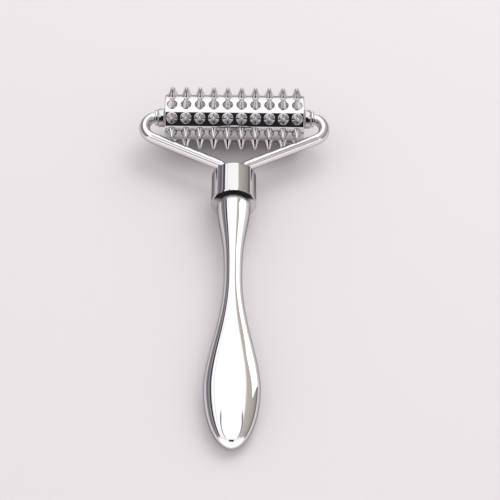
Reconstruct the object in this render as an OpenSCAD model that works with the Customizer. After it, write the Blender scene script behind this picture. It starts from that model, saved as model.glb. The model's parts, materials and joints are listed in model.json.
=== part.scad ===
// Spiked roller on a two-armed wire fork with a flattened drop-shaped handle.
// It lies as it rests on a table: the roller's spikes and the underside of the
// handle's bulge touch the floor. +X is the roller's axle, +Y runs from the
// handle's tail to the roller, +Z is up. Millimetres.

/* [Overall] */
// Length from the handle's tail to the farthest spike tips
total_length = 120; // [116:1:126]
// Width over the two wire loops
head_width = 54; // [53:0.5:56]

/* [Roller] */
// Length of the roller's barrel
barrel_length = 39.4; // [38.4:0.1:39.6]
// Diameter of the barrel between its spikes
barrel_d = 13.2; // [12:0.1:14]
// Diameter over opposite spike tips
tip_d = 18.5; // [17:0.1:19.5]
// Number of rows of spikes around the barrel, even so that one row is lowest
spike_rows = 10; // [8:2:10]
// Number of spikes in a row
spikes_per_row = 10; // [8:1:10]
// Distance between two spikes of a row
spike_pitch = 3.92; // [3.6:0.01:3.92]
// Diameter of a spike at its foot
spike_foot_d = 3; // [2.4:0.1:3.2]
// Angle by which the resting rows lean back from the vertical
rest_spin = 13.4; // [0:0.1:18]
// Diameter of the bore that runs through the barrel
barrel_bore_d = 8.4; // [7:0.1:9]
// Chamfer around each end of the barrel
barrel_chamfer = 0.35; // [0.1:0.05:0.6]

/* [Fork] */
// Diameter of the round wire of the arms
wire_d = 3; // [2.6:0.1:3]
// Slope of the straight part of an arm away from the axle's direction
arm_slope = 28.5; // [28:0.5:30]
// Distance of each arm's tenon from the middle of the collar
tenon_x = 2.9; // [2.6:0.1:3.1]
// Depth of the tenons in the collar
tenon_depth = 5.6; // [4:0.1:5.8]
// Radius of the tight bend beside the stop ring
hook_r = 2; // [1.8:0.1:2.2]
// Angle of that tight bend
hook_angle = 47; // [46:1:49]
// Radius of the bend above the collar
foot_bend_r = 2.2; // [2:0.1:2.6]

/* [Collar] */
// Outer diameter of the collar
collar_d = 12.2; // [11.6:0.1:13]
// Length of the collar
collar_length = 10.4; // [10.2:0.1:12]
// Chamfer of the collar's two edges
collar_chamfer = 0.35; // [0.1:0.05:0.6]

/* [Handle] */
// Width of the handle's bulge
bulge_w = 14; // [12:0.5:16]
// Thickness of the handle's bulge
bulge_t = 7; // [6:0.5:9]
// How square the bulge's section is: 2 is an ellipse, more has a flatter top
bulge_power = 2.5; // [2:0.1:3]
// Length of the rounded tail behind the bulge
tail_length = 17; // [14:0.5:20]
// Diameter of the neck
neck_d = 4.8; // [4.6:0.1:6]
// Distance of the neck from the tail
neck_at = 51.7; // [48:0.1:56]
// Diameter of the shoulder that meets the collar
shoulder_d = 9.2; // [8.4:0.1:10]

/* [Hidden] */

// Radial play of the bushes on the wire, and the gap beside each stop ring
play = 0.05;
end_gap = 0.1;
FINE = 72;

// Wire: lap of its straight lengths over its bends, and a bend's thinning
lap = 0.05;
bend_thinning = 0.04;

// Spike: heights are above the barrel's surface
tip_flat_r = 0.12;
tip_round_r = 0.3;
tip_round_h = 0.18;
waist_share = 0.36;
waist_r = spike_foot_d * 0.29;
spike_root = 1.2;
spike_h = tip_d / 2 - barrel_d / 2;

// Roller ends
bush_flange_d = 5.2;
bush_flange_w = 2;
bush_d = 4.2;
bush_length = 6;
plug_w = 5;
stop_ring_d = 4.5;
stop_ring_w = 0.9;
stub_end_x = barrel_length / 2 - bush_length + 0.4;
ring_x = barrel_length / 2 + bush_flange_w + end_gap;

// Stud between the handle and the collar, and its thread's crest and root
stud_d = 4;
stud_length = 13;
stud_in_collar = 4.2;
stud_chamfer = 0.4;
socket_floor_gap = 0.2;

// Locking dimple in the collar's edge
dimple_d = 0.5;
dimple_depth = 0.35;
dimple_turn = 23;
dimple_from_edge = 1.2;

// Places along the handle's axis, from the tail
axle_at = total_length - tip_d / 2;
collar_top_at = axle_at - 23.15;
collar_foot_at = collar_top_at - collar_length;

// How far the resting roller reaches from its axle in a direction around it,
// through the row of spikes that is nearest to that direction
row_turn = 360 / spike_rows;
function past_row(direction) = (direction - rest_spin) % row_turn;
function off_row(direction) = min(past_row(direction), row_turn - past_row(direction));
function roller_reach(direction) =
    tip_d / 2 * cos(off_row(direction)) + tip_flat_r * sin(off_row(direction));

// Height of the axle
axle_z = roller_reach(180);

// The handle leans so that its tail's ellipse also touches the floor:
// (axle_z - lean_run * s)^2 = tail_length^2 * s^2 + (bulge_t / 2)^2 * (1 - s^2), s = sin(lean)
lean_run = axle_at - tail_length;
lean_a = pow(lean_run, 2) - pow(tail_length, 2) + pow(bulge_t / 2, 2);
lean_b = axle_z * lean_run;
lean_c = pow(axle_z, 2) - pow(bulge_t / 2, 2);
lean = asin((lean_b - sqrt(pow(lean_b, 2) - lean_a * lean_c)) / lean_a);

// The origin is under the middle of the whole object
tail_reach = lean_run * cos(lean)
    + sqrt(pow(tail_length * cos(lean), 2) + pow(bulge_t / 2 * sin(lean), 2));
head_reach = roller_reach(270);
axle_y = (tail_reach - head_reach) / 2;

// Puts a shape drawn with the handle's axis on +Y, the tail at 0, in its place
module on_handle_axis() {
    translate([0, axle_y, axle_z])
        rotate([lean, 0, 0])
            translate([0, -axle_at, 0])
                children();
}

// Turns a shape drawn around +Z so that it runs along the handle's axis
module along_axis(at) {
    translate([0, at, 0])
        rotate([-90, 0, 0])
            children();
}

// Puts a shape drawn around +Z, outwards, on the axle's side: -1 left, 1 right
module on_axle(side) {
    translate([0, axle_y, axle_z])
        rotate([0, side * 90, 0])
            children();
}

// ---- handle -------------------------------------------------------------

// A soft step from 0 to 1
function ease(u) = pow(sin(90 * u), 2);

// Half size of the handle's outline at a distance from the tail, where
// bulge is the bulge's half size in that direction
function handle_half(at, bulge) =
    at < tail_length
    ? bulge * sqrt(1 - pow(1 - at / tail_length, 2))
    : at < neck_at
    ? bulge - (bulge - neck_d / 2) * ease(pow((at - tail_length) / (neck_at - tail_length), 0.85))
    : neck_d / 2 + (shoulder_d - neck_d) / 2
        * ease(pow((at - neck_at) / (collar_foot_at - neck_at), 1.5));

// How square the handle's section is there; the neck and the shoulder are round
function section_power(at) =
    at < tail_length
    ? bulge_power
    : at < neck_at
    ? bulge_power - (bulge_power - 2) * ease((at - tail_length) / (neck_at - tail_length))
    : 2;

// A point at an angle on a section of those half sizes
function on_section(half_w, half_t, power, angle) = [
    half_w * sign(cos(angle)) * pow(abs(cos(angle)), 2 / power),
    half_t * sign(sin(angle)) * pow(abs(sin(angle)), 2 / power),
];

TAIL_RINGS = 10;
BODY_RINGS = 32;
HANDLE_SIDES = 36;

// Ring places: even angles around the tail, then even steps up to the collar
handle_rings = concat(
    [for (i = [1:TAIL_RINGS]) tail_length * (1 - cos(90 * i / TAIL_RINGS))],
    [for (i = [1:BODY_RINGS]) tail_length + (collar_foot_at - tail_length) * i / BODY_RINGS]
);

handle_points = concat(
    [[0, 0, 0]],
    [for (at = handle_rings) for (j = [0:HANDLE_SIDES - 1])
        let (p = on_section(
            handle_half(at, bulge_w / 2), handle_half(at, bulge_t / 2),
            section_power(at), 360 * j / HANDLE_SIDES
        ))
        [p.x, at, p.y]]
);

function ring_point(i, j) = 1 + i * HANDLE_SIDES + j % HANDLE_SIDES;

handle_faces = concat(
    [for (j = [0:HANDLE_SIDES - 1]) [0, ring_point(0, j + 1), ring_point(0, j)]],
    [for (i = [0:len(handle_rings) - 2]) for (j = [0:HANDLE_SIDES - 1])
        [ring_point(i, j), ring_point(i, j + 1), ring_point(i + 1, j + 1), ring_point(i + 1, j)]],
    [[for (j = [0:HANDLE_SIDES - 1]) ring_point(len(handle_rings) - 1, j)]]
);

module handle() {
    color("lightgray")
        on_handle_axis()
            difference() {
                polyhedron(points = handle_points, faces = handle_faces);
                along_axis(collar_foot_at - stud_length + stud_in_collar - socket_floor_gap)
                    cylinder(d = stud_d, h = stud_length, $fn = FINE);
            }
}

module handle_stud() {
    color("darkgray")
        on_handle_axis()
            along_axis(collar_foot_at - stud_length + stud_in_collar)
                chamfered_rod(stud_d, stud_length, stud_chamfer);
}

// A rod with a chamfer at each end
module chamfered_rod(d, length, chamfer) {
    rotate_extrude($fn = FINE)
        polygon([
            [0, 0], [d / 2 - chamfer, 0], [d / 2, chamfer],
            [d / 2, length - chamfer], [d / 2 - chamfer, length], [0, length],
        ]);
}

// ---- collar -------------------------------------------------------------

module collar() {
    color("silver")
        on_handle_axis()
            difference() {
                along_axis(collar_foot_at)
                    chamfered_rod(collar_d, collar_length, collar_chamfer);
                along_axis(collar_foot_at - 1)
                    cylinder(d = stud_d, h = stud_in_collar + socket_floor_gap + 1, $fn = FINE);
                for (side = [-1, 1])
                    translate([side * tenon_x, 0, 0])
                        along_axis(collar_top_at - tenon_depth)
                            cylinder(d = wire_d, h = tenon_depth + 1, $fn = FINE);
                translate([0, collar_foot_at + dimple_from_edge, 0])
                    rotate([0, dimple_turn, 0])
                        translate([0, 0, collar_d / 2 - dimple_depth])
                            cylinder(d = dimple_d, h = 1, $fn = 24);
            }
}

// ---- fork ---------------------------------------------------------------

// The arm's route is drawn on a plane: x outwards along the axle, y along the
// handle's axis, with the axle at y = 0.
hook_x = ring_x + stop_ring_w;
hook_out = hook_x + hook_r * sin(hook_angle);
hook_down = -hook_r * (1 - cos(hook_angle));
loop_r = (head_width / 2 - wire_d / 2 - hook_out) / (1 - sin(hook_angle));
loop_x = hook_out - loop_r * sin(hook_angle);
loop_y = hook_down - loop_r * cos(hook_angle);
slope_x = loop_x + loop_r * sin(arm_slope);
slope_y = loop_y - loop_r * cos(arm_slope);
foot_x = tenon_x + foot_bend_r * (1 - sin(arm_slope));
foot_y = slope_y - (slope_x - foot_x) * tan(arm_slope);
foot_centre_x = tenon_x + foot_bend_r;
foot_centre_y = foot_y - foot_bend_r * cos(arm_slope);
tenon_end_y = collar_top_at - tenon_depth - axle_at;

// A straight length of wire between two points of the plane, lapped over the
// bends at both of its ends
module wire_rod(from, to) {
    run = to - from;
    translate([from[0], from[1], 0])
        rotate([0, 0, atan2(run[1], run[0])])
            translate([-lap, 0, 0])
                rotate([0, 90, 0])
                    cylinder(d = wire_d, h = norm(run) + 2 * lap, $fn = FINE);
}

// A bent length of wire around a centre, from one angle through a turn. Bending
// draws it a hair thinner, so its ends lie inside the straight lengths.
module wire_bend(centre, r, from, turn) {
    translate([centre[0], centre[1], 0])
        rotate([0, 0, from])
            rotate_extrude(angle = turn, $fn = FINE)
                translate([r, 0])
                    circle(d = wire_d - bend_thinning, $fn = FINE);
}

module arm_wire() {
    hook_end = [hook_out, hook_down];
    hook_run = lap * [cos(hook_angle), -sin(hook_angle)];
    wire_rod([stub_end_x, 0], [hook_x, 0]);
    wire_bend([hook_x, -hook_r], hook_r, 90 - hook_angle, hook_angle);
    wire_rod(hook_end - hook_run, hook_end + hook_run);
    wire_bend([loop_x, loop_y], loop_r, arm_slope - 90, 180 - arm_slope - hook_angle);
    wire_rod([foot_x, foot_y], [slope_x, slope_y]);
    wire_bend([foot_centre_x, foot_centre_y], foot_bend_r, 90 + arm_slope, 90 - arm_slope);
    wire_rod([tenon_x, tenon_end_y + lap], [tenon_x, foot_centre_y]);
}

module left_arm() {
    color("gainsboro")
        on_handle_axis()
            translate([0, axle_at, 0])
                mirror([1, 0, 0])
                    arm_wire();
}

module right_arm() {
    color("gainsboro")
        on_handle_axis()
            translate([0, axle_at, 0])
                arm_wire();
}

// A ring with rounded-off edges, pressed on the wire
module stop_ring(side) {
    color("darkgray")
        on_axle(side)
            translate([0, 0, ring_x])
                difference() {
                    chamfered_rod(stop_ring_d, stop_ring_w, 0.2);
                    translate([0, 0, -1])
                        cylinder(d = wire_d, h = stop_ring_w + 2, $fn = FINE);
                }
}

module left_stop_ring() {
    stop_ring(-1);
}

module right_stop_ring() {
    stop_ring(1);
}

// ---- roller -------------------------------------------------------------

// One cast spike, standing on +Z from the barrel's surface at z = 0
module spike() {
    rotate_extrude($fn = 36)
        polygon([
            [0, -spike_root], [spike_foot_d / 2, -spike_root], [spike_foot_d / 2, 0],
            [waist_r, spike_h * waist_share],
            [tip_round_r, spike_h - tip_round_h], [tip_flat_r, spike_h], [0, spike_h],
        ]);
}

module roller_barrel() {
    color("silver")
        translate([0, axle_y, axle_z])
            difference() {
                union() {
                    translate([-barrel_length / 2, 0, 0])
                        rotate([0, 90, 0])
                            chamfered_rod(barrel_d, barrel_length, barrel_chamfer);
                    for (row = [0:spike_rows - 1])
                        rotate([rest_spin + row_turn * row, 0, 0])
                            for (i = [0:spikes_per_row - 1])
                                translate([(i - (spikes_per_row - 1) / 2) * spike_pitch, 0, barrel_d / 2])
                                    spike();
                }
                translate([-barrel_length, 0, 0])
                    rotate([0, 90, 0])
                        cylinder(d = barrel_bore_d, h = 2 * barrel_length, $fn = FINE);
            }
}

// A disc pressed into the barrel's end, flush with its rim
module end_plug(side) {
    color("lightgray")
        on_axle(side)
            translate([0, 0, barrel_length / 2 - plug_w])
                difference() {
                    cylinder(d = barrel_bore_d, h = plug_w, $fn = FINE);
                    translate([0, 0, -1])
                        cylinder(d = bush_d, h = plug_w + 2, $fn = FINE);
                }
}

module left_end_plug() {
    end_plug(-1);
}

module right_end_plug() {
    end_plug(1);
}

// A flanged bush that runs on the wire's stub, its flange outside the barrel
module bush(side) {
    color("burlywood")
        on_axle(side)
            translate([0, 0, barrel_length / 2])
                difference() {
                    union() {
                        chamfered_rod(bush_flange_d, bush_flange_w, 0.2);
                        translate([0, 0, -bush_length])
                            cylinder(d = bush_d, h = bush_length + 1, $fn = FINE);
                    }
                    translate([0, 0, -bush_length - 1])
                        cylinder(d = wire_d + 2 * play, h = bush_length + bush_flange_w + 2, $fn = FINE);
                }
}

module left_bush() {
    bush(-1);
}

module right_bush() {
    bush(1);
}

handle();
handle_stud();
collar();
left_arm();
right_arm();
left_stop_ring();
right_stop_ring();
roller_barrel();
left_end_plug();
right_end_plug();
left_bush();
right_bush();
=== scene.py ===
import json
from math import atan2, copysign, cos, hypot, pi, radians, sin, sqrt, tan

import bmesh
import bpy
from bpy.props import FloatProperty, FloatVectorProperty, IntProperty, PointerProperty
from bpy.types import Operator, Panel, PropertyGroup
from mathutils import Matrix, Vector


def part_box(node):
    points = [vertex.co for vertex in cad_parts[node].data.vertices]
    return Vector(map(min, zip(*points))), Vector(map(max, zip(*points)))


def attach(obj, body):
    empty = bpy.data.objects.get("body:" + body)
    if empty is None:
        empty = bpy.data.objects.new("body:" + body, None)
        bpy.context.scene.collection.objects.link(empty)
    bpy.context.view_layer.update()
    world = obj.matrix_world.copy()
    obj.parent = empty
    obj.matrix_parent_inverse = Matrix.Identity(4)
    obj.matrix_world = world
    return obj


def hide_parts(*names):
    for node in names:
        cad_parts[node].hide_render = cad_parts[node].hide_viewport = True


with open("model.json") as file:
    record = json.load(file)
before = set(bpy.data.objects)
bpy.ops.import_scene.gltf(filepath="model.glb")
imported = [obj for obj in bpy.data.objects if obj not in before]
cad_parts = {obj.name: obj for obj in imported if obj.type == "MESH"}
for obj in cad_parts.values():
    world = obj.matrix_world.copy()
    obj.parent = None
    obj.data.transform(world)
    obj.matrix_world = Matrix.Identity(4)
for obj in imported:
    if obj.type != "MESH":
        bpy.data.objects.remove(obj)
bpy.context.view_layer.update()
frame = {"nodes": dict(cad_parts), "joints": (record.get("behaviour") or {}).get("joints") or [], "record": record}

bl_info = {
    "name": "Spiked Roller",
    "version": (1, 0, 0),
    "blender": (4, 5, 0),
    "location": "View3D > Sidebar > Roller",
    "description": "Builds a chrome hand roller with cast spikes on a wire fork",
    "category": "Add Mesh",
}

MM = 0.001

# The axle, and how far the handle's axis leans up from level, as the frame has them
SPIN = next(joint for joint in frame["joints"] if joint["name"] == "roller_spin")
BAND = next(mount for mount in frame["record"]["mounts"] if mount["name"] == "collar_band")
AXLE = Vector(SPIN["pos_m"])
LEAN = atan2(BAND["axis"][2], BAND["axis"][1])

BARREL_LOW, BARREL_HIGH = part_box("roller_barrel")
HEAD_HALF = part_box("right_arm")[1].x
BUSH_IN, FLANGE_OUT = (corner.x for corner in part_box("right_bush"))

# The wire's stubs end a little before the bushes do, and the stop rings leave the roller some play
STUB_IN = BUSH_IN + 0.4 * MM
RING_IN = FLANGE_OUT + 0.1 * MM

SIDES = (("left", -1), ("right", 1))


# ---- sizes and colours ------------------------------------------------------

def length(name, description, default):
    """A size in metres that a user can change."""
    return FloatProperty(
        name=name, description=description, default=default,
        min=0.0, unit="LENGTH", subtype="DISTANCE", precision=5,
    )


def turn(name, description, default):
    """An angle that a user can change, given here in degrees."""
    return FloatProperty(
        name=name, description=description, default=radians(default),
        unit="ROTATION", subtype="ANGLE",
    )


def tint(name, description, default):
    """A colour that a user can change."""
    return FloatVectorProperty(
        name=name, description=description, default=default,
        min=0.0, max=1.0, size=3, subtype="COLOR",
    )


class RollerSizes(PropertyGroup):
    barrel_length: length("Barrel Length", "Length of the barrel", BARREL_HIGH.x - BARREL_LOW.x)
    barrel_diameter: length("Barrel Diameter", "Diameter between the spikes", 13.2 * MM)
    tip_diameter: length("Tip Diameter", "Diameter over opposite spike tips", 18.5 * MM)
    rows: IntProperty(name="Rows", description="Rows of spikes round the barrel", default=10, min=3)
    spikes: IntProperty(name="Spikes", description="Spikes in a row", default=10, min=1)
    pitch: length("Pitch", "Distance between two spikes of a row", 3.92 * MM)
    foot_diameter: length("Foot Diameter", "Diameter of a spike at its foot", 3.0 * MM)
    rest_turn: turn("Rest Turn", "Turn of the roller as it lies", 13.4)
    rim: length("Rim", "Rounding of the barrel's two rims", 0.26 * MM)
    bore_diameter: length("Bore Diameter", "Bore through the barrel", 8.4 * MM)
    bush_diameter: length("Bush Diameter", "Body of the bushes", 4.2 * MM)
    flange_diameter: length("Flange Diameter", "Flange of the bushes", 5.2 * MM)
    bush_depth: length("Bush Depth", "Length of a bush inside the barrel", 6.0 * MM)
    plug_width: length("Plug Width", "Width of the barrel's end plugs", 5.0 * MM)


class ForkSizes(PropertyGroup):
    wire_diameter: length("Wire Diameter", "Diameter of the arms' wire", 3.0 * MM)
    slope: turn("Slope", "Slope of the straight part of an arm", 28.5)
    hook_radius: length("Hook Radius", "Radius of the bend beside the stop ring", 2.0 * MM)
    hook_turn: turn("Hook Turn", "Angle of the bend beside the stop ring", 47)
    foot_radius: length("Foot Radius", "Radius of the bend above the collar", 2.2 * MM)
    tenon_gap: length("Tenon Offset", "Distance of a tenon from the collar's middle", 2.9 * MM)
    tenon_depth: length("Tenon Depth", "Depth of the tenons in the collar", 5.6 * MM)
    ring_diameter: length("Ring Diameter", "Diameter of the stop rings", 4.5 * MM)
    ring_width: length("Ring Width", "Width of the stop rings", 0.9 * MM)


class GripSizes(PropertyGroup):
    collar_diameter: length("Collar Diameter", "Diameter of the collar", 12.2 * MM)
    collar_top: length("Collar Top", "Distance of the collar's top from the axle", 23.15 * MM)
    collar_length: length("Collar Length", "Length of the collar", 10.4 * MM)
    collar_edge: length("Collar Edge", "Chamfer of the collar's edges", 0.35 * MM)
    handle_length: length("Handle Length", "Distance of the tail from the axle", 110.75 * MM)
    bulge_width: length("Bulge Width", "Width of the handle's bulge", 14.0 * MM)
    bulge_thickness: length("Bulge Thickness", "Thickness of the handle's bulge", 7.0 * MM)
    bulge_power: FloatProperty(
        name="Bulge Power", description="How square the bulge's section is: 2 is an ellipse",
        default=2.5, min=2.0,
    )
    tail_length: length("Tail Length", "Length of the round tail behind the bulge", 17.0 * MM)
    neck_place: length("Neck Place", "Distance of the neck from the tail", 51.7 * MM)
    neck_diameter: length("Neck Diameter", "Diameter of the neck", 4.8 * MM)
    shoulder_diameter: length("Shoulder Diameter", "Diameter beside the collar", 9.2 * MM)
    stud_diameter: length("Stud Diameter", "Diameter of the stud's socket", 4.0 * MM)
    stud_in_collar: length("Stud In Collar", "Depth of the stud's socket in the collar", 4.4 * MM)
    stud_in_handle: length("Stud In Handle", "Depth of the stud's socket in the handle", 9.0 * MM)


class FinishColours(PropertyGroup):
    chrome: tint("Chrome", "Colour of the plated pieces", (0.83, 0.82, 0.83))
    bush: tint("Bush", "Colour of the bushes", (0.70, 0.68, 0.67))
    steel: tint("Steel", "Colour of the stud", (0.52, 0.51, 0.50))
    floor: tint("Floor", "Colour of the floor", (0.645, 0.614, 0.627))


class StudioSettings(PropertyGroup):
    elevation: turn("Camera Elevation", "Angle of the camera above the floor", 45.7)
    distance: length("Camera Distance", "Distance of the camera from what it aims at", 365.3 * MM)
    aim_back: length("Aim Back", "How far behind the axle the camera aims", 45 * MM)
    aim_height: length("Aim Height", "Height of what the camera aims at", 5 * MM)
    pan_right: length("Pan Right", "How far the view then moves to the right", 4.45 * MM)
    pan_down: length("Pan Down", "How far the view then moves down", 2.35 * MM)
    roll: turn("Camera Roll", "Turn of the camera about its own axis", 1.3)
    lens: FloatProperty(
        name="Lens", description="Focal length on a 36 mm sensor", default=99.0, min=1.0,
    )
    key_power: FloatProperty(
        name="Key Power", description="Power of the key light", default=4.5, min=0.0,
        unit="POWER",
    )


# ---- node graphs ------------------------------------------------------------

class Number:
    """A number socket of a node graph. A sum written with it adds its Math node."""

    def __init__(self, graph, socket):
        self.graph = graph
        self.socket = socket

    def sum(self, operation, first, second=0.0):
        node = self.graph.node("ShaderNodeMath", {"operation": operation}, {0: first, 1: second})
        return Number(self.graph, node.outputs[0])

    def __add__(self, other):
        return self.sum("ADD", self, other)

    def __radd__(self, other):
        return self.sum("ADD", other, self)

    def __sub__(self, other):
        return self.sum("SUBTRACT", self, other)

    def __rsub__(self, other):
        return self.sum("SUBTRACT", other, self)

    def __mul__(self, other):
        return self.sum("MULTIPLY", self, other)

    def __rmul__(self, other):
        return self.sum("MULTIPLY", other, self)

    def __truediv__(self, other):
        return self.sum("DIVIDE", self, other)

    def __rtruediv__(self, other):
        return self.sum("DIVIDE", other, self)

    def root(self):
        return self.sum("SQRT", self)

    def size(self):
        return self.sum("ABSOLUTE", self)

    def angle_to(self, other):
        """The angle whose tangent is this number over the other, in degrees."""
        return self.sum("ARCTAN2", self, other) * (180 / pi)

    def above(self, floor):
        """This number, or the floor where it is less."""
        return self.sum("MAXIMUM", self, floor)

    def step(self, low, high):
        """A soft step, from 0 at low to 1 at high."""
        node = self.graph.node(
            "ShaderNodeMapRange",
            {"interpolation_type": "SMOOTHSTEP"},
            {"Value": self, "From Min": low, "From Max": high},
        )
        return Number(self.graph, node.outputs["Result"])

    def band(self, low, high, soft):
        """1 between low and high and 0 outside, with soft edges."""
        return self.step(low - soft, low + soft) * (1 - self.step(high - soft, high + soft))


class Graph:
    """The nodes of one material or world."""

    def __init__(self, owner):
        owner.use_nodes = True
        self.tree = owner.node_tree
        self.tree.nodes.clear()

    def node(self, kind, settings=None, inputs=None):
        """Adds a node of that kind: its settings first, then its sockets' values or links."""
        node = self.tree.nodes.new(kind)
        for name, value in (settings or {}).items():
            if name == "stops":
                ramp = node.color_ramp.elements
                while len(ramp) < len(value):
                    ramp.new(1.0)
                for stop, (place, colour) in zip(ramp, value):
                    stop.position = place
                    stop.color = (*colour, 1.0)
            else:
                setattr(node, name, value)
        for name, value in (inputs or {}).items():
            socket = node.inputs[name]
            source = value.socket if isinstance(value, Number) else value
            if isinstance(source, bpy.types.NodeSocket):
                self.tree.links.new(source, socket)
            elif socket.type == "RGBA" and len(source) == 3:
                socket.default_value = (*source, 1.0)
            else:
                socket.default_value = source
        return node

    def number(self, node, output=0):
        return Number(self, node.outputs[output])

    def place(self, kind="Object"):
        """The coordinate of a point, and its three numbers."""
        point = self.node("ShaderNodeTexCoord").outputs[kind]
        parts = self.node("ShaderNodeSeparateXYZ", {}, {0: point})
        return point, [self.number(parts, axis) for axis in range(3)]

    def noise(self, point, scale, detail=2.0, stretch=(1, 1, 1), shift=(0, 0, 0)):
        """Noise of about that many patches in a metre, longer along an axis of small stretch."""
        moved = self.node(
            "ShaderNodeMapping", {}, {"Vector": point, "Location": shift, "Scale": stretch},
        )
        node = self.node(
            "ShaderNodeTexNoise", {},
            {"Vector": moved.outputs[0], "Scale": scale, "Detail": detail},
        )
        return self.number(node, "Fac")

    def mix(self, share, first, second):
        """One colour over another, by a share."""
        node = self.node(
            "ShaderNodeMix", {"data_type": "RGBA"}, {0: share, 6: first, 7: second},
        )
        return node.outputs[2]


# ---- finishes ---------------------------------------------------------------

# Painted shade: the chrome's reflection is darkened where it is seen nearly edge-on, to draw the dark outlines
# that shade gives
PAINTED_EDGE_SHADE = (0.30, 0.28, 0.31)


def new_material(name):
    material = bpy.data.materials.get(name) or bpy.data.materials.new(name)
    return material, Graph(material)


def plated(
    name, colour, wave, seed, wave_scale=220, dull_and_shade=None, shade_share=0.55, dull_rough=0.16,
):
    """Chrome plate: a mirror that waves a little, with faint smears and fine polishing marks. An optional mask, a
    function of a point's three numbers, makes the plate rougher there and also darkens its colour by a share,
    which is painted shade."""
    material, graph = new_material(name)
    point, parts = graph.place()
    shift = (seed, seed, seed)
    smear = graph.noise(point, 130, 3.0, (1.0, 0.5, 1.0), shift).step(0.48, 0.78)
    marks = graph.noise(point, 5200, 2.0, (1.0, 0.04, 1.0), shift).step(0.52, 0.75)
    pores = graph.noise(point, 2600, 1.0, (1, 1, 1), shift).step(0.74, 0.8)
    swell = graph.noise(point, wave_scale, 1.0, (1, 1, 1), shift)
    roughness = 0.035 + smear * 0.055 + marks * 0.03 + pores * 0.12
    base = graph.mix(smear * 0.5, colour, [share * 0.94 for share in colour])
    if dull_and_shade:
        # Painted shade: inside the mask the plate's colour is darkened by the share, and its roughness is raised
        mask = dull_and_shade(parts)
        roughness = roughness + mask * dull_rough
        base = graph.mix(mask, base, [share * shade_share for share in colour])
    height = swell * wave + marks * 0.004
    bump = graph.node(
        "ShaderNodeBump", {}, {"Height": height, "Strength": 0.1, "Distance": 0.3 * MM},
    ).outputs[0]
    shader = graph.node(
        "ShaderNodeBsdfPrincipled", {},
        {
            "Base Color": base, "Metallic": 1.0, "Roughness": roughness,
            "Specular Tint": PAINTED_EDGE_SHADE, "Normal": bump,
        },
    )
    graph.node("ShaderNodeOutputMaterial", {}, {"Surface": shader.outputs[0]})
    return material


def machined(name, colour, scale=9000, rough=0.28):
    """Bare steel with the fine rings of a lathe and a few darker patches."""
    material, graph = new_material(name)
    point, _ = graph.place()
    rings = graph.noise(point, scale, 2.0, (0.1, 1.0, 0.1))
    patches = graph.noise(point, 400, 3.0)
    base = graph.mix(patches.step(0.45, 0.75), colour, [share * 0.7 for share in colour])
    bump = graph.node(
        "ShaderNodeBump", {}, {"Height": rings, "Strength": 0.3, "Distance": 0.02 * MM},
    ).outputs[0]
    shader = graph.node(
        "ShaderNodeBsdfPrincipled", {},
        {
            "Base Color": base, "Metallic": 1.0,
            "Roughness": rough + patches * 0.15, "Normal": bump,
        },
    )
    graph.node("ShaderNodeOutputMaterial", {}, {"Surface": shader.outputs[0]})
    return material


def give(piece, material):
    """The piece gets this material alone."""
    piece.data.materials.clear()
    piece.data.materials.append(material)


# ---- modelling --------------------------------------------------------------

def deselect():
    if bpy.context.object and bpy.context.object.mode != "OBJECT":
        bpy.ops.object.mode_set(mode="OBJECT")
    bpy.ops.object.select_all(action="DESELECT")


def edit(piece):
    """Goes into edit mode on the piece, with nothing selected."""
    deselect()
    bpy.context.view_layer.objects.active = piece
    piece.select_set(True)
    bpy.ops.object.mode_set(mode="EDIT")
    bpy.ops.mesh.select_all(action="DESELECT")


def select(piece, wanted):
    """In edit mode, selects the edges whose two ends are both wanted, and nothing else."""
    bpy.ops.mesh.select_mode(type="EDGE")
    bpy.ops.mesh.select_all(action="DESELECT")
    mesh = bmesh.from_edit_mesh(piece.data)
    for edge in mesh.edges:
        edge.select_set(all(wanted(vert.co) for vert in edge.verts))
    bmesh.update_edit_mesh(piece.data)


def apply_modifiers(piece):
    deselect()
    bpy.context.view_layer.objects.active = piece
    piece.select_set(True)
    for modifier in list(piece.modifiers):
        bpy.ops.object.modifier_apply(modifier=modifier.name)


def circle(name, radius, sides, centre=(0, 0, 0), facing=(0, 0, 0)):
    """An open circle, the start of a piece, in edit mode with all of it selected."""
    deselect()
    bpy.ops.mesh.primitive_circle_add(
        vertices=sides, radius=radius, location=centre, rotation=facing,
    )
    piece = bpy.context.object
    piece.name = name
    piece.data.name = name
    bpy.ops.object.transform_apply(location=True, rotation=True, scale=True)
    bpy.ops.object.mode_set(mode="EDIT")
    bpy.ops.mesh.select_all(action="SELECT")
    return piece


def push(step):
    """Extrudes the selected loop by a step."""
    bpy.ops.mesh.extrude_region_move(TRANSFORM_OT_translate={"value": step})


def widen(share, centre):
    """Scales the selected loop about a centre."""
    bpy.ops.transform.resize(value=share, center_override=centre)


def fill():
    """Closes the selected loop with a face."""
    bpy.ops.mesh.edge_face_add()


def close_up(piece):
    """Merges doubles and turns all faces outwards."""
    bpy.ops.mesh.select_all(action="SELECT")
    bpy.ops.mesh.remove_doubles(threshold=0.0005 * MM)
    bpy.ops.mesh.normals_make_consistent(inside=False)
    bpy.ops.object.mode_set(mode="OBJECT")


def turned(name, outline, sides, hollow):
    """A piece turned about +X: outline is its (x, radius) points in order.
    A hollow one joins its last point to its first, and a solid one is closed at both ends."""
    x, radius = outline[0]
    piece = circle(name, radius, sides, (x, 0, 0), (0, pi / 2, 0))
    if not hollow:
        fill()
    for to_x, to_radius in outline[1:]:
        push((to_x - x, 0, 0))
        share = to_radius / radius
        widen((1, share, share), (to_x, 0, 0))
        x, radius = to_x, to_radius
    if hollow:
        first_x, first_radius = outline[0]
        select(piece, lambda co: any(
            abs(co.x - at) < 1e-7 and abs(hypot(co.y, co.z) - wide) < 1e-6
            for at, wide in ((x, radius), (first_x, first_radius))
        ))
        bpy.ops.mesh.bridge_edge_loops()
    else:
        fill()
    close_up(piece)
    return piece


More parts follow.
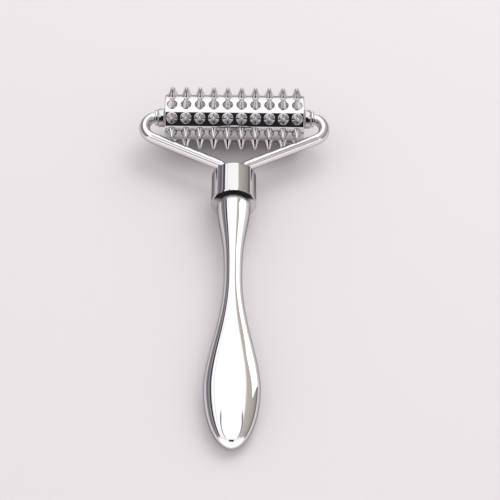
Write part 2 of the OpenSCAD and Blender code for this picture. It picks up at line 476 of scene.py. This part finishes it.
def rounded(corners, radius, closed=True):
    """An outline's points with each corner cut by a small two-step round."""
    points = []
    count = len(corners)
    for index, corner in enumerate(corners):
        if not closed and index in (0, count - 1):
            points.append(corner)
            continue
        here = Vector(corner)
        back = (Vector(corners[index - 1]) - here).normalized()
        on = (Vector(corners[(index + 1) % count]) - here).normalized()
        first, last = here + back * radius, here + on * radius
        middle = here + (back + on) * radius * 0.29
        points += [tuple(first), tuple(middle), tuple(last)]
    return points


def set_in_place(piece, lean, side=1):
    """Moves a piece that was made round the origin to the axle, mesh and all."""
    deselect()
    bpy.context.view_layer.objects.active = piece
    piece.select_set(True)
    piece.rotation_euler = (lean, 0, pi if side < 0 else 0)
    piece.location = AXLE
    bpy.ops.object.transform_apply(location=True, rotation=True, scale=True)


def smooth(piece, angle=40):
    deselect()
    bpy.context.view_layer.objects.active = piece
    piece.select_set(True)
    bpy.ops.object.shade_smooth_by_angle(angle=radians(angle))


def finish_piece(piece, material, body, slot, *nodes):
    """The piece gets its finish, rides on its body and stands for its CAD nodes."""
    give(piece, material)
    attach(piece, body)
    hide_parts(*nodes)


# ---- handle -----------------------------------------------------------------

def ease(share):
    """A soft step from 0 to 1."""
    return sin(pi / 2 * share) ** 2


def foot_place(sizes):
    """Distance of the collar's foot from the tail."""
    return sizes.handle_length - sizes.collar_top - sizes.collar_length


def handle_half(sizes, at, bulge):
    """Half size of the handle at a distance from the tail, where bulge is the bulge's half size."""
    neck = sizes.neck_diameter / 2
    foot = foot_place(sizes)
    if at < sizes.tail_length:
        return bulge * sqrt(max(0.0, 1 - (1 - at / sizes.tail_length) ** 2))
    if at < sizes.neck_place:
        share = (at - sizes.tail_length) / (sizes.neck_place - sizes.tail_length)
        return bulge - (bulge - neck) * ease(share ** 0.85)
    share = (at - sizes.neck_place) / (foot - sizes.neck_place)
    return neck + (sizes.shoulder_diameter / 2 - neck) * ease(min(1.0, share) ** 1.5)


def section_power(sizes, at):
    """How square the handle's section is there. The neck and the shoulder are round."""
    if at < sizes.tail_length:
        return sizes.bulge_power
    share = min(1.0, (at - sizes.tail_length) / (sizes.neck_place - sizes.tail_length))
    return sizes.bulge_power - (sizes.bulge_power - 2) * ease(share)


def square_up(piece, sizes):
    """Gives the handle's round sections the flatter top and underside of the bulge."""
    for vert in piece.data.vertices:
        at = vert.co.y + sizes.handle_length
        half_wide = handle_half(sizes, at, sizes.bulge_width / 2)
        half_thick = handle_half(sizes, at, sizes.bulge_thickness / 2)
        if at > sizes.neck_place or half_wide < 0.1 * MM:
            continue
        across, up = vert.co.x / half_wide, vert.co.z / half_thick
        power = 2 / section_power(sizes, at)
        vert.co.x = copysign(abs(across) ** power, across) * half_wide
        vert.co.z = copysign(abs(up) ** power, up) * half_thick


def build_handle(sizes):
    """The handle, drawn ring by ring from the collar to its tail."""
    body_rings, tail_rings, sides = 46, 12, 48
    foot = foot_place(sizes)
    body = foot - sizes.tail_length
    places = [foot - body * ring / body_rings for ring in range(body_rings + 1)]
    places += [
        sizes.tail_length * (1 - sin(pi / 2 * ring / tail_rings)) for ring in range(1, tail_rings)
    ]
    places.append(sizes.tail_length * 0.0012)
    wide = [handle_half(sizes, at, sizes.bulge_width / 2) for at in places]
    thick = [handle_half(sizes, at, sizes.bulge_thickness / 2) for at in places]

    def along(at):
        return at - sizes.handle_length

    socket, shoulder = sizes.stud_diameter / 2, sizes.shoulder_diameter / 2
    mouth, mouth_share, edge_in, edge_down = 0.2 * MM, 1.12, 0.12 * MM, 0.1 * MM
    floor = (0, along(foot - sizes.stud_in_handle), 0)
    piece = circle("handle_body", socket, sides, floor, (pi / 2, 0, 0))
    fill()
    push((0, sizes.stud_in_handle - mouth, 0))
    for share, step in ((mouth_share, mouth), ((shoulder - edge_in) / socket / mouth_share, 0.0)):
        push((0, step, 0))
        widen((share, 1, share), (0, along(foot), 0))
    push((0, -edge_down, 0))
    share = shoulder / (shoulder - edge_in)
    widen((share, 1, share), (0, along(foot), 0))
    at, half_wide, half_thick = foot - edge_down, shoulder, shoulder
    for to_at, to_wide, to_thick in list(zip(places, wide, thick))[1:]:
        push((0, to_at - at, 0))
        widen((to_wide / half_wide, 1, to_thick / half_thick), (0, along(to_at), 0))
        at, half_wide, half_thick = to_at, to_wide, to_thick
    push((0, -at, 0))
    bpy.ops.mesh.merge(type="CENTER")
    close_up(piece)
    square_up(piece, sizes)
    subdivision = piece.modifiers.new("smooth_casting", "SUBSURF")
    subdivision.levels = subdivision.render_levels = 1
    apply_modifiers(piece)
    smooth(piece, 50)
    set_in_place(piece, LEAN)
    return piece


# ---- collar -----------------------------------------------------------------

def cut(piece, cutter):
    """Cuts the cutter out of the piece, and removes it."""
    boolean = piece.modifiers.new("cut", "BOOLEAN")
    boolean.operation = "DIFFERENCE"
    boolean.solver = "EXACT"
    boolean.object = cutter
    apply_modifiers(piece)
    bpy.data.objects.remove(cutter)


def along_handle(piece, centre):
    """Turns a piece made about +X so that it points up the handle, from a place along it."""
    deselect()
    bpy.context.view_layer.objects.active = piece
    piece.select_set(True)
    piece.rotation_euler = (0, 0, pi / 2)
    piece.location = centre
    bpy.ops.object.transform_apply(location=True, rotation=True, scale=True)


def build_collar(sizes, fork):
    """The collar, with two sockets for the arms, one for the stud and a locking dimple."""
    outer, tall, edge = sizes.collar_diameter / 2, sizes.collar_length, sizes.collar_edge
    foot = -sizes.collar_top - tall
    outline = [(0, outer - edge * 0.5), (edge * 0.1, outer - edge * 0.4), (edge, outer)]
    outline += [(tall - x, radius) for x, radius in reversed(outline)]
    piece = turned("collar_body", outline, 128, hollow=False)
    along_handle(piece, (0, foot, 0))
    mouth = 0.18 * MM
    for side in (-1, 1):
        bore = fork.wire_diameter / 2 + 0.02 * MM
        socket = turned("socket", [
            (0, bore), (fork.tenon_depth - mouth, bore),
            (fork.tenon_depth + mouth, bore + 2 * mouth),
            (fork.tenon_depth + 1 * MM, bore + 2 * mouth),
        ], 48, hollow=False)
        along_handle(socket, (side * fork.tenon_gap, foot + tall - fork.tenon_depth, 0))
        cut(piece, socket)
    bore = sizes.stud_diameter / 2
    socket = turned("socket", [(-1 * MM, bore), (sizes.stud_in_collar, bore)], 48, hollow=False)
    along_handle(socket, (0, foot, 0))
    cut(piece, socket)
    dimple = turned("dimple", [
        (-0.35 * MM, 0.1 * MM), (-0.22 * MM, 0.22 * MM), (0, 0.28 * MM), (0.5 * MM, 0.36 * MM),
    ], 24, hollow=False)
    dimple_turn = radians(23)
    dimple.rotation_euler = (0, dimple_turn - pi / 2, 0)
    dimple.location = (outer * sin(dimple_turn), foot + 1.2 * MM, outer * cos(dimple_turn))
    cut(piece, dimple)
    smooth(piece, 15)
    set_in_place(piece, LEAN)
    return piece


# ---- fork -------------------------------------------------------------------

def build_arm(name, side, sizes, grip):
    """An arm of the fork: one round wire from its stub in the roller to its tenon."""
    wire, sides = sizes.wire_diameter / 2, 40
    slope, hook_turn = sizes.slope, sizes.hook_turn
    hook_x = RING_IN + sizes.ring_width
    hook_out = hook_x + sizes.hook_radius * sin(hook_turn)
    hook_down = -sizes.hook_radius * (1 - cos(hook_turn))
    loop_radius = (HEAD_HALF - wire - hook_out) / (1 - sin(hook_turn))
    loop_x = hook_out - loop_radius * sin(hook_turn)
    loop_y = hook_down - loop_radius * cos(hook_turn)
    slope_x, slope_y = loop_x + loop_radius * sin(slope), loop_y - loop_radius * cos(slope)
    foot_x = sizes.tenon_gap + sizes.foot_radius * (1 - sin(slope))
    foot_y = slope_y - (slope_x - foot_x) * tan(slope)
    bend_x, bend_y = sizes.tenon_gap + sizes.foot_radius, foot_y - sizes.foot_radius * cos(slope)
    tenon_end = -grip.collar_top - sizes.tenon_depth + 0.1 * MM
    tip = 0.15 * MM

    def straight(x, y):
        push((side * x, y, 0))

    def bend(x, y, angle, steps):
        bpy.ops.mesh.spin(
            steps=steps, angle=-side * angle, center=(side * x, y, 0), axis=(0, 0, 1),
        )

    piece = circle(name, wire - tip, sides, (side * STUB_IN, 0, 0), (0, pi / 2, 0))
    fill()
    straight(tip, 0)
    spread = wire / (wire - tip)
    widen((1, spread, spread), (side * (STUB_IN + tip), 0, 0))
    straight(hook_x - STUB_IN - tip, 0)
    bend(hook_x, -sizes.hook_radius, -hook_turn, 10)
    bend(loop_x, loop_y, -(pi - slope - hook_turn), 26)
    straight(foot_x - slope_x, foot_y - slope_y)
    bend(bend_x, bend_y, pi / 2 - slope, 12)
    straight(0, tenon_end + tip - bend_y)
    straight(0, -tip)
    widen((1 / spread, 1, 1 / spread), (side * sizes.tenon_gap, tenon_end, 0))
    fill()
    close_up(piece)
    smooth(piece, 40)
    set_in_place(piece, LEAN)
    return piece


def build_stop_ring(name, side, sizes):
    """A thin ring with rounded edges, pressed on the wire."""
    bore, outer = sizes.wire_diameter / 2, sizes.ring_diameter / 2
    far = RING_IN + sizes.ring_width
    corners = [(RING_IN, bore), (RING_IN, outer), (far, outer), (far, bore)]
    piece = turned(name, rounded(corners, 0.22 * MM), 64, hollow=True)
    smooth(piece, 60)
    set_in_place(piece, 0, side)
    return piece


# ---- roller -----------------------------------------------------------------

# Outline of a cast spike: share of its height above the barrel, share of its foot's radius
SPIKE_OUTLINE = (
    (0.0, 1.09), (0.006, 1.01), (0.035, 0.955), (0.09, 0.905), (0.17, 0.835), (0.28, 0.74),
    (0.42, 0.63), (0.58, 0.52), (0.74, 0.41), (0.87, 0.31), (0.945, 0.22), (0.985, 0.12),
    (0.998, 0.05),
)


def build_spike_cell(sizes):
    """One spike on its patch of the barrel, one pitch wide and one row's share of a turn."""
    sides = 16
    barrel = sizes.barrel_diameter / 2
    tall = sizes.tip_diameter / 2 - barrel
    foot = sizes.foot_diameter / 2
    half_x = sizes.pitch / 2
    half_y = barrel * sin(pi / sizes.rows)
    radius = foot * SPIKE_OUTLINE[0][1]
    piece = circle("spike_cell", 1.0, sides)
    mesh = bmesh.from_edit_mesh(piece.data)
    for vert in mesh.verts:
        widest = max(abs(vert.co.x), abs(vert.co.y))
        vert.co.x *= half_x / widest
        vert.co.y *= half_y / widest
    bmesh.update_edit_mesh(piece.data)
    push((0, 0, 0))
    mesh = bmesh.from_edit_mesh(piece.data)
    for vert in mesh.verts:
        if vert.select:
            flat = Vector((vert.co.x / half_x, vert.co.y / half_y, 0)).normalized()
            vert.co = flat * radius
    bmesh.update_edit_mesh(piece.data)
    height, wide = SPIKE_OUTLINE[0]
    for to_height, to_wide in SPIKE_OUTLINE[1:]:
        push((0, 0, (to_height - height) * tall))
        share = to_wide / wide
        widen((share, share, 1), (0, 0, to_height * tall))
        height, wide = to_height, to_wide
    push((0, 0, (1 - height) * tall))
    bpy.ops.mesh.merge(type="CENTER")
    bpy.ops.object.mode_set(mode="OBJECT")

    # The patch keeps its corners through the subdivision, so that it meets the next ones
    crease = piece.data.attributes.new("crease_vert", "FLOAT", "POINT")
    for vert in piece.data.vertices:
        at_corner = abs(vert.co.x) > half_x * 0.999 and abs(vert.co.y) > half_y * 0.999
        crease.data[vert.index].value = 1.0 if at_corner else 0.0
    subdivision = piece.modifiers.new("smooth_casting", "SUBSURF")
    subdivision.levels = subdivision.render_levels = 1
    apply_modifiers(piece)

    # The foot follows the barrel's curve, which fades out over the spike's lowest part
    for vert in piece.data.vertices:
        rise = sqrt(barrel ** 2 - vert.co.y ** 2)
        level = max(0.0, 1 - vert.co.z / (0.3 * tall))
        vert.co.z += rise * level + barrel * (1 - level)
    return piece


def build_barrel(sizes):
    """The barrel with all its spikes, cast in one, with rounded rims and a bore."""
    barrel, half, rim = sizes.barrel_diameter / 2, sizes.barrel_length / 2, sizes.rim
    bore, lip = sizes.bore_diameter / 2, 0.12 * MM
    piece = build_spike_cell(sizes)
    piece.name = piece.data.name = "spiked_barrel"
    row = piece.modifiers.new("row", "ARRAY")
    row.count = sizes.spikes
    row.use_relative_offset = False
    row.use_constant_offset = True
    row.constant_offset_displace = (sizes.pitch, 0, 0)
    row.use_merge_vertices = True
    row.merge_threshold = 0.001 * MM
    apply_modifiers(piece)
    deselect()
    bpy.ops.object.empty_add()
    spoke = bpy.context.object
    spoke.rotation_euler = (2 * pi / sizes.rows, 0, 0)
    rows = piece.modifiers.new("rows", "ARRAY")
    rows.count = sizes.rows
    rows.use_relative_offset = False
    rows.use_object_offset = True
    rows.offset_object = spoke
    apply_modifiers(piece)
    bpy.data.objects.remove(spoke)

    edit(piece)
    bpy.ops.mesh.select_all(action="SELECT")
    bpy.ops.transform.translate(value=(-(sizes.spikes - 1) / 2 * sizes.pitch, 0, 0))
    bpy.ops.mesh.remove_doubles(threshold=0.002 * MM)

    # Each end is drawn out to the rim, rounded, and turned in to the bore
    row_end = sizes.spikes / 2 * sizes.pitch
    rim_steps = 4
    for side in (-1, 1):
        select(piece, lambda co: abs(co.x - side * row_end) < 0.01 * MM)
        bpy.ops.transform.translate(value=(side * (half - rim - row_end), 0, 0))
        x, radius = half - rim, barrel
        turns = [step * pi / 2 / rim_steps for step in range(1, rim_steps + 1)]
        corner = [(half - rim + rim * sin(turn), barrel - rim + rim * cos(turn)) for turn in turns]
        for to_x, to_radius in corner + [(half, bore + lip), (half - lip, bore)]:
            push((side * (to_x - x), 0, 0))
            share = to_radius / radius
            widen((1, share, share), (side * to_x, 0, 0))
            x, radius = to_x, to_radius
    select(piece, lambda co: (
        abs(abs(co.x) - (half - lip)) < 1e-7 and hypot(co.y, co.z) < bore * 1.001
    ))
    bpy.ops.mesh.bridge_edge_loops()
    close_up(piece)
    smooth(piece, 60)
    set_in_place(piece, sizes.rest_turn)
    true_plates(piece, barrel, half - rim)
    return piece


def true_plates(piece, radius, half):
    """Between its spikes the barrel shines as a true cylinder, whatever faces it is made of."""
    normals = []
    for vert in piece.data.vertices:
        out = Vector((0, vert.co.y - AXLE.y, vert.co.z - AXLE.z))
        on_plate = abs(out.length - radius) < 0.006 * MM and abs(vert.co.x) < half + 0.001 * MM
        normals.append(out.normalized() if on_plate else Vector((0, 0, 0)))  # zero keeps its own
    piece.data.normals_split_custom_set_from_vertices(normals)


def build_plug(name, side, sizes):
    """A disc pressed into the barrel's end, with a bore for the bush."""
    bore, outer = sizes.bush_diameter / 2, sizes.bore_diameter / 2
    half = sizes.barrel_length / 2
    inner = half - sizes.plug_width
    corners = [(inner, bore), (inner, outer), (half, outer), (half, bore)]
    piece = turned(name, rounded(corners, 0.1 * MM), 72, hollow=True)
    smooth(piece, 40)
    set_in_place(piece, 0, side)
    return piece


def build_bush(name, side, sizes, fork):
    """A flanged bush. Its flange stands outside the barrel, beside the stop ring."""
    bore = fork.wire_diameter / 2 + 0.05 * MM
    body, flange = sizes.bush_diameter / 2, sizes.flange_diameter / 2
    half = sizes.barrel_length / 2
    inner = half - sizes.bush_depth
    corners = [
        (inner, bore), (inner, body), (half, body),
        (half, flange), (FLANGE_OUT, flange), (FLANGE_OUT, bore),
    ]
    piece = turned(name, rounded(corners, 0.16 * MM), 72, hollow=True)
    smooth(piece, 40)
    set_in_place(piece, 0, side)
    return piece


# ---- operators --------------------------------------------------------------

def in_handle(parts):
    """How far a point lies along the handle from the axle, and how far above its line."""
    y, z = parts[1] - AXLE.y, parts[2] - AXLE.z
    return y * cos(LEAN) + z * sin(LEAN), z * cos(LEAN) - y * sin(LEAN)

class ROLLER_OT_handle(Operator):
    """Builds the handle, and gives the hidden stud its steel"""
    bl_idname = "roller.handle"
    bl_label = "Handle"

    def execute(self, context):
        colours, grip = context.scene.roller_colours, context.scene.roller_grip
        foot = -grip.collar_top - grip.collar_length

        def beside_collar(parts):
            along, _ = in_handle(parts)
            return along.step(foot - 1.9 * MM, foot - 1.1 * MM)

        piece = build_handle(grip)
        finish = plated(
            "handle_chrome", colours.chrome, wave=0.3, seed=0.3, wave_scale=160,
            dull_and_shade=beside_collar, shade_share=1.0, dull_rough=0.4,
        )
        finish_piece(piece, finish, "handle_frame", "handle_chrome", "handle")
        bpy.data.collections["grip_only"].objects.link(piece)
        give(frame["nodes"]["handle_stud"], machined("stud_steel", colours.steel))
        return {"FINISHED"}


class ROLLER_OT_collar(Operator):
    """Builds the collar that holds both arms"""
    bl_idname = "roller.collar"
    bl_label = "Collar"

    def execute(self, context):
        scene = context.scene
        grip = scene.roller_grip
        foot = -grip.collar_top - grip.collar_length

        # Painted shade: the upper part of the collar's foot face is painted nearly black, where that end face lies
        # in shade, and made rougher
        def foot_face(parts):
            along, above = in_handle(parts)
            on_face = 1 - along.step(foot + 0.02 * MM, foot + 0.08 * MM)
            return on_face * above.step(1.5 * MM, 3.2 * MM)

        piece = build_collar(grip, scene.roller_fork)
        finish = plated(
            "collar_chrome", [0.9 * share for share in scene.roller_colours.chrome],
            wave=0.12, seed=0.9, dull_and_shade=foot_face, shade_share=0.04,
        )
        finish_piece(piece, finish, "handle_frame", "collar_chrome", "collar")
        return {"FINISHED"}


class ROLLER_OT_arms(Operator):
    """Bends the two wire arms and presses a stop ring on each"""
    bl_idname = "roller.arms"
    bl_label = "Arms and Stop Rings"

    def execute(self, context):
        scene = context.scene
        finish = plated(
            "wire_chrome", scene.roller_colours.chrome, wave=0.1, seed=1.7, wave_scale=320,
        )
        for word, side in SIDES:
            arm = build_arm(f"{word}_wire_arm", side, scene.roller_fork, scene.roller_grip)
            finish_piece(arm, finish, "handle_frame", "wire_chrome", f"{word}_arm")
            ring = build_stop_ring(f"{word}_wire_ring", side, scene.roller_fork)
            finish_piece(ring, finish, "handle_frame", "wire_chrome", f"{word}_stop_ring")
        return {"FINISHED"}


class ROLLER_OT_barrel(Operator):
    """Builds the barrel with its rows of cast spikes"""
    bl_idname = "roller.barrel"
    bl_label = "Spiked Barrel"

    def execute(self, context):
        scene = context.scene
        barrel = scene.roller_sizes.barrel_diameter / 2

        # Painted shade: the plate round each spike's foot is darkened, where the crevice lies in shade, and is
        # made rougher there
        def spike_feet(parts):
            y, z = parts[1] - AXLE.y, parts[2] - AXLE.z
            out = (y * y + z * z).root()
            return out.band(barrel + 0.05 * MM, barrel + 0.5 * MM, 0.12 * MM) * 0.35

        piece = build_barrel(scene.roller_sizes)
        finish = plated(
            "roller_chrome", scene.roller_colours.chrome,
            wave=0.05, seed=2.6, wave_scale=260, dull_and_shade=spike_feet,
        )
        finish_piece(piece, finish, "roller", "roller_chrome", "roller_barrel")
        return {"FINISHED"}


class ROLLER_OT_bearings(Operator):
    """Builds the plugs in the barrel's ends and the bushes that run on the wire"""
    bl_idname = "roller.bearings"
    bl_label = "End Plugs and Bushes"

    def execute(self, context):
        scene = context.scene
        plug_finish = plated("plug_chrome", scene.roller_colours.chrome, wave=0.1, seed=3.1)
        bush_finish = plated("bush_chrome", scene.roller_colours.bush, wave=0.1, seed=4.3)
        for word, side in SIDES:
            plug = build_plug(f"{word}_plug", side, scene.roller_sizes)
            finish_piece(plug, plug_finish, "roller", "roller_chrome", f"{word}_end_plug")
            bush = build_bush(f"{word}_flanged_bush", side, scene.roller_sizes, scene.roller_fork)
            finish_piece(bush, bush_finish, "roller", "bush_chrome", f"{word}_bush")
        return {"FINISHED"}


# White cards that only the handle mirrors: name, place, what it faces and size, in millimetres
CARDS = (
    ("tail_card", (0, -78, 17), (0, -50, 9), (90, 30)),
    ("right_card", (128, 80, 74), (0, -40, 9), (80, 125)),
)
CARD_BRIGHTNESS = 1.25

# The room's back half in strips along its depth, from under the floor round by the left wall,
# the ceiling and the right wall: share of the turn, and colour
BACK_STRIPS = (
    (0.0, (0.35, 0.33, 0.36)), (0.22, (0.24, 0.22, 0.25)), (0.27, (0.34, 0.31, 0.35)),
    (0.30, (0.17, 0.16, 0.18)), (0.325, (0.24, 0.22, 0.25)), (0.342, (0.55, 0.51, 0.57)),
    (0.350, (0.04, 0.04, 0.04)), (0.372, (0.04, 0.04, 0.04)), (0.382, (1.2, 1.18, 1.22)),
    (0.402, (1.25, 1.24, 1.26)), (0.408, (0.85, 0.83, 0.88)), (0.416, (1.25, 1.24, 1.26)),
    (0.555, (1.28, 1.27, 1.25)), (0.567, (0.58, 0.54, 0.50)), (0.64, (0.48, 0.45, 0.41)),
    (0.70, (0.36, 0.34, 0.31)), (0.722, (0.16, 0.15, 0.15)), (0.738, (0.20, 0.19, 0.19)),
    (0.748, (0.60, 0.57, 0.56)), (1.0, (0.45, 0.43, 0.44)),
)
FRONT_WALL = (1.05, 1.02, 1.03)
CEILING = (1.3, 1.3, 1.3)
RAIL = (0.14, 0.13, 0.14)
WING = (0.10, 0.09, 0.10)
DARK_CARD = (0.02, 0.018, 0.02)
SOFT_LIGHT = (1.02, 1.01, 1.01)
BEHIND_FLOOR = (0.80, 0.765, 0.78)


def build_world():
    """The room that the chrome mirrors: pale, with a dark card in front and dark wings beside it.
    It lights the scene evenly, and the camera sees it as a plain pale ground."""
    world = bpy.data.worlds.new("studio")
    bpy.context.scene.world = world
    graph = Graph(world)
    _, (x, y, z) = graph.place("Generated")
    rise = z.angle_to((x * x + y * y).root())
    round_depth = x.angle_to(z)
    from_front = x.angle_to(0 - y).size()

    back = graph.node(
        "ShaderNodeValToRGB", {"stops": BACK_STRIPS}, {0: (round_depth + 180) / 360},
    ).outputs[0]
    room = graph.mix(y.step(-0.35, -0.2), FRONT_WALL, back)
    room = graph.mix(rise.step(71, 73), room, CEILING)
    rail = rise.band(66.5, 70, 0.7) * x.size().step(0.22, 0.3)
    room = graph.mix(rail * 0.92, room, RAIL)
    wing = (1 - from_front.step(60, 66)) * rise.band(31, 44, 1.5)
    room = graph.mix(wing * 0.95, room, WING)
    half_width = 32 - (rise - 35).above(0) * 0.63
    card = (half_width - from_front).step(-2, 2) * rise.band(0.8, 70, 0.8)
    room = graph.mix(card, room, DARK_CARD)

    ray = graph.node("ShaderNodeLightPath").outputs
    room = graph.mix(ray["Is Diffuse Ray"], room, SOFT_LIGHT)
    shown = graph.mix(ray["Is Camera Ray"], room, BEHIND_FLOOR)
    light = graph.node("ShaderNodeBackground", {}, {"Color": shown, "Strength": 1.0})
    graph.node("ShaderNodeOutputWorld", {}, {"Surface": light.outputs[0]})


def towards(target, thing):
    """The turn that makes a light or a camera look at a point."""
    return (target - thing.location).to_track_quat("-Z", "Y")


def add_floor(colours):
    bpy.ops.mesh.primitive_plane_add(size=6.0, location=(0, 0, 0))
    floor = bpy.context.object
    floor.name = "floor"
    material, graph = new_material("pale_floor")
    shader = graph.node(
        "ShaderNodeBsdfPrincipled", {}, {"Base Color": tuple(colours.floor), "Roughness": 0.9},
    )
    graph.node("ShaderNodeOutputMaterial", {}, {"Surface": shader.outputs[0]})
    give(floor, material)


def add_lights(studio):
    """A broad soft key light, and the cards that only light the pieces of grip_only."""
    bpy.ops.object.light_add(type="AREA", location=(0.35, 0.55, 0.75))
    key = bpy.context.object
    key.name = "key_light"
    key.data.shape = "DISK"
    key.data.size = 0.9
    key.data.energy = studio.key_power
    key.rotation_euler = towards(Vector((0, 0, 0)), key).to_euler()
    key.visible_glossy = False

    grip_only = bpy.data.collections.new("grip_only")
    for name, place, target, (wide, tall) in CARDS:
        bpy.ops.object.light_add(type="AREA", location=Vector(place) * MM)
        card = bpy.context.object
        card.name = name
        card.data.shape = "RECTANGLE"
        card.data.size, card.data.size_y = wide * MM, tall * MM
        card.data.energy = CARD_BRIGHTNESS * pi * card.data.size * card.data.size_y
        card.rotation_euler = towards(Vector(target) * MM, card).to_euler()
        card.visible_camera = card.visible_diffuse = False
        card.light_linking.receiver_collection = grip_only


def add_camera(studio):
    aim = Vector((0, AXLE.y - studio.aim_back, studio.aim_height))
    down = studio.elevation
    ahead = Vector((0, cos(down), -sin(down)))
    above = Vector((0, sin(down), cos(down)))
    bpy.ops.object.camera_add(location=aim - ahead * studio.distance)
    camera = bpy.context.object
    camera.name = "camera"
    look = towards(aim + Vector((studio.pan_right, 0, 0)) - above * studio.pan_down, camera)
    camera.rotation_euler = (look.to_matrix() @ Matrix.Rotation(studio.roll, 3, "Z")).to_euler()
    camera.data.lens = studio.lens
    camera.data.sensor_width = 36.0
    camera.data.clip_start = 0.01
    camera.data.clip_end = 20.0
    return camera


class ROLLER_OT_stage(Operator):
    """Sets up the floor, the studio light and the camera"""
    bl_idname = "roller.stage"
    bl_label = "Stage"

    def execute(self, context):
        scene = context.scene
        deselect()
        add_floor(scene.roller_colours)
        build_world()
        add_lights(scene.roller_studio)
        scene.camera = add_camera(scene.roller_studio)
        scene.view_settings.view_transform = "Standard"
        return {"FINISHED"}


OPERATORS = (
    ROLLER_OT_stage, ROLLER_OT_handle, ROLLER_OT_collar,
    ROLLER_OT_arms, ROLLER_OT_barrel, ROLLER_OT_bearings,
)


class ROLLER_PT_panel(Panel):
    """Lists the pieces of the roller"""
    bl_idname = "ROLLER_PT_panel"
    bl_label = "Spiked Roller"
    bl_space_type = "VIEW_3D"
    bl_region_type = "UI"
    bl_category = "Roller"

    def draw(self, context):
        for operator in OPERATORS:
            self.layout.operator(operator.bl_idname)
        for name in SETTINGS:
            group = getattr(context.scene, name)
            box = self.layout.box()
            for key in group.__annotations__:
                box.prop(group, key)


SETTINGS = {
    "roller_sizes": RollerSizes,
    "roller_fork": ForkSizes,
    "roller_grip": GripSizes,
    "roller_colours": FinishColours,
    "roller_studio": StudioSettings,
}
CLASSES = (*SETTINGS.values(), *OPERATORS, ROLLER_PT_panel)


def register():
    for cls in CLASSES:
        bpy.utils.register_class(cls)
    for name, group in SETTINGS.items():
        setattr(bpy.types.Scene, name, PointerProperty(type=group))


def unregister():
    for name in SETTINGS:
        delattr(bpy.types.Scene, name)
    for cls in reversed(CLASSES):
        bpy.utils.unregister_class(cls)


def main():
    register()
    for operator in OPERATORS:
        group, name = operator.bl_idname.split(".")
        getattr(getattr(bpy.ops, group), name)()
    deselect()


if __name__ == "__main__":
    main()
